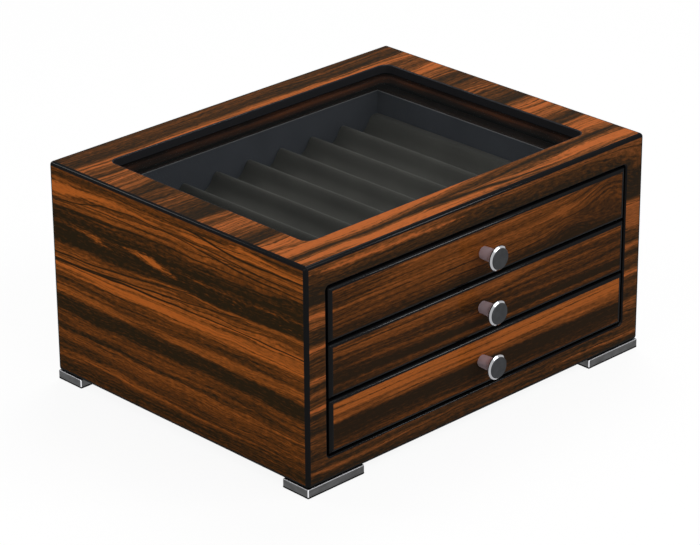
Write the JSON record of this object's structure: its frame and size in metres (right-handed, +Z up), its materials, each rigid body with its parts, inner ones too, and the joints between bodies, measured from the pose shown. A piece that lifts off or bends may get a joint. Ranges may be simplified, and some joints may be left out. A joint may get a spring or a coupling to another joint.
{
  "type": "pen collector chest",
  "caption": "Veneered box with rounded black edges, a glass window in its top, drawers with round knobs and grooved pen trays, on metal feet.",
  "frame": {"origin": "middle of the bounding box, knobs included, on the surface that the feet stand on", "axes": "+X to the chest's right along its width, -Y out of the front where the knobs are, +Z up"},
  "size_m": [0.36, 0.2994, 0.1832],
  "materials": {
    "case_veneer": "figured dark brown and orange veneer under high gloss lacquer, black lacquered edges",
    "drawer_veneer": "figured brown veneer under high gloss lacquer, black lacquered edges",
    "window_glass": "clear and polished",
    "bare_wood": "plain brown hardwood, satin",
    "box_wood": "black stained hardwood, satin",
    "plywood": "thin plywood, satin",
    "suede": "dark grey short suede, matt",
    "felt": "black felt, matt",
    "knob_metal": "satin nickel",
    "foot_metal": "brushed, satin",
    "steel_screw": "zinc plated"
  },
  "bodies": {
    "case": {"front_frame": "case_veneer", "back_panel": "case_veneer", "bottom_panel": "case_veneer", "left_side": "case_veneer", "right_side": "case_veneer", "top_panel": "case_veneer", "window_glass": "window_glass", "glass_retainer": "bare_wood", "retainer_screws": "steel_screw", "foot_screws": "steel_screw", "runner_screws": "steel_screw", "drawer_bumpers": "felt", "foot_front_left": "foot_metal", "foot_back_left": "foot_metal", "foot_front_right": "foot_metal", "foot_back_right": "foot_metal", "foot_pads": "felt", "bottom_runner_left": "bare_wood", "bottom_runner_right": "bare_wood", "middle_runner_left": "bare_wood", "middle_runner_right": "bare_wood", "top_runner_left": "bare_wood", "top_runner_right": "bare_wood"},
    "bottom_drawer": {"bottom_drawer_front": "drawer_veneer", "bottom_drawer_left_side": "box_wood", "bottom_drawer_right_side": "box_wood", "bottom_drawer_back": "box_wood", "bottom_drawer_floor": "plywood", "bottom_drawer_lining": "suede", "bottom_drawer_pen_tray": "suede", "bottom_drawer_knob": "knob_metal", "bottom_drawer_knob_screw": "steel_screw"},
    "middle_drawer": {"middle_drawer_front": "drawer_veneer", "middle_drawer_left_side": "box_wood", "middle_drawer_right_side": "box_wood", "middle_drawer_back": "box_wood", "middle_drawer_floor": "plywood", "middle_drawer_lining": "suede", "middle_drawer_pen_tray": "suede", "middle_drawer_knob": "knob_metal", "middle_drawer_knob_screw": "steel_screw"},
    "top_drawer": {"top_drawer_front": "drawer_veneer", "top_drawer_left_side": "box_wood", "top_drawer_right_side": "box_wood", "top_drawer_back": "box_wood", "top_drawer_floor": "plywood", "top_drawer_lining": "suede", "top_drawer_pen_tray": "suede", "top_drawer_knob": "knob_metal", "top_drawer_knob_screw": "steel_screw"}
  },
  "joints": [
    {"name": "bottom_drawer_slide", "type": "slide", "parent": "case", "child": "bottom_drawer", "axis": [0, -1, 0], "range_m": [0, 0.19]},
    {"name": "middle_drawer_slide", "type": "slide", "parent": "case", "child": "middle_drawer", "axis": [0, -1, 0], "range_m": [0, 0.19]},
    {"name": "top_drawer_slide", "type": "slide", "parent": "case", "child": "top_drawer", "axis": [0, -1, 0], "range_m": [0, 0.19]}
  ]
}
